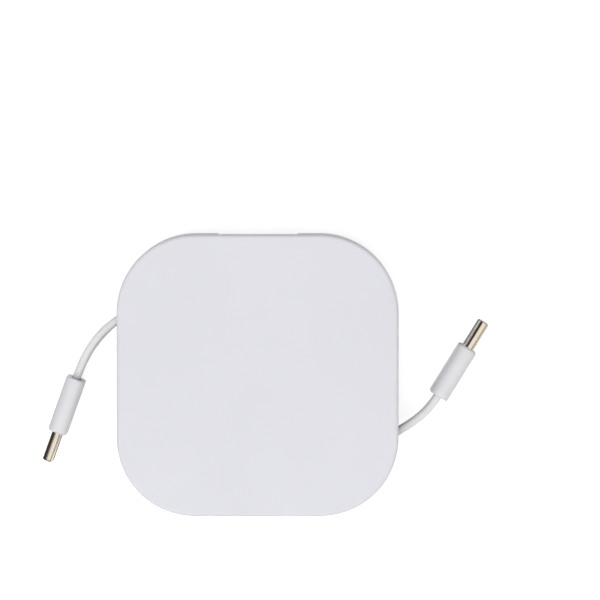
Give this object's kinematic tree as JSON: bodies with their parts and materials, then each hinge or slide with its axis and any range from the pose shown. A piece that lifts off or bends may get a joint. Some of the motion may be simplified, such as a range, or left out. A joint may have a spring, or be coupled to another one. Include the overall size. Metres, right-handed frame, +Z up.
{
  "type": "retractable usb-c cable",
  "caption": "Flat white cable with a USB-C plug on each end, wound on a spring spool in a rounded square case with side bays for the plugs and a fold-out rest.",
  "frame": {"origin": "middle of the case's underside, on the surface it lies on", "axes": "+Z up out of the case's large face, +X to the right plug bay, +Y to the fold-out rest"},
  "size_m": [0.0986, 0.062, 0.0155],
  "materials": {
    "case_plastic": "fine satin",
    "plug_grip": "satin",
    "cable_jacket": "smooth satin",
    "plug_metal": "polished nickel",
    "carrier_plastic": "satin",
    "contact_metal": "plated",
    "steel": "rolled",
    "inner_plastic": "as moulded",
    "board": "coated board"
  },
  "bodies": {
    "case": {"bottom_cover": "case_plastic", "top_cover": "case_plastic", "flap_hinge_pin": "steel", "pawl_spring": "steel", "cable_lead_left": "cable_jacket", "cable_lead_right": "cable_jacket", "left_overmould": "plug_grip", "left_plug_shell": "plug_metal", "left_contact_carrier": "carrier_plastic", "left_contacts": "contact_metal", "left_latch_spring": "steel", "left_paddle_board": "board", "right_overmould": "plug_grip", "right_plug_shell": "plug_metal", "right_contact_carrier": "carrier_plastic", "right_contacts": "contact_metal", "right_latch_spring": "steel", "right_paddle_board": "board"},
    "spool": {"spool": "inner_plastic", "spool_flange": "inner_plastic", "spring_retainer": "inner_plastic", "power_spring": "steel", "cable_winding": "cable_jacket"},
    "pawl": {"ratchet_pawl": "inner_plastic"},
    "flap": {"phone_flap": "case_plastic"}
  },
  "joints": [
    {"name": "spool_turn", "type": "hinge", "parent": "case", "child": "spool", "pos_m": [0, 0, 0.006], "axis": [0, 0, 1], "range_deg": [-24, 1560], "deforming": ["power_spring"]},
    {"name": "pawl_swing", "type": "hinge", "parent": "case", "child": "pawl", "pos_m": [0.00641, -0.02059, 0.0036], "axis": [0, 0, 1], "range_deg": [-14, 0]},
    {"name": "flap_fold", "type": "hinge", "parent": "case", "child": "flap", "pos_m": [0, 0.0294, 0.0017], "axis": [-1, 0, 0], "range_deg": [0, 90]}
  ]
}
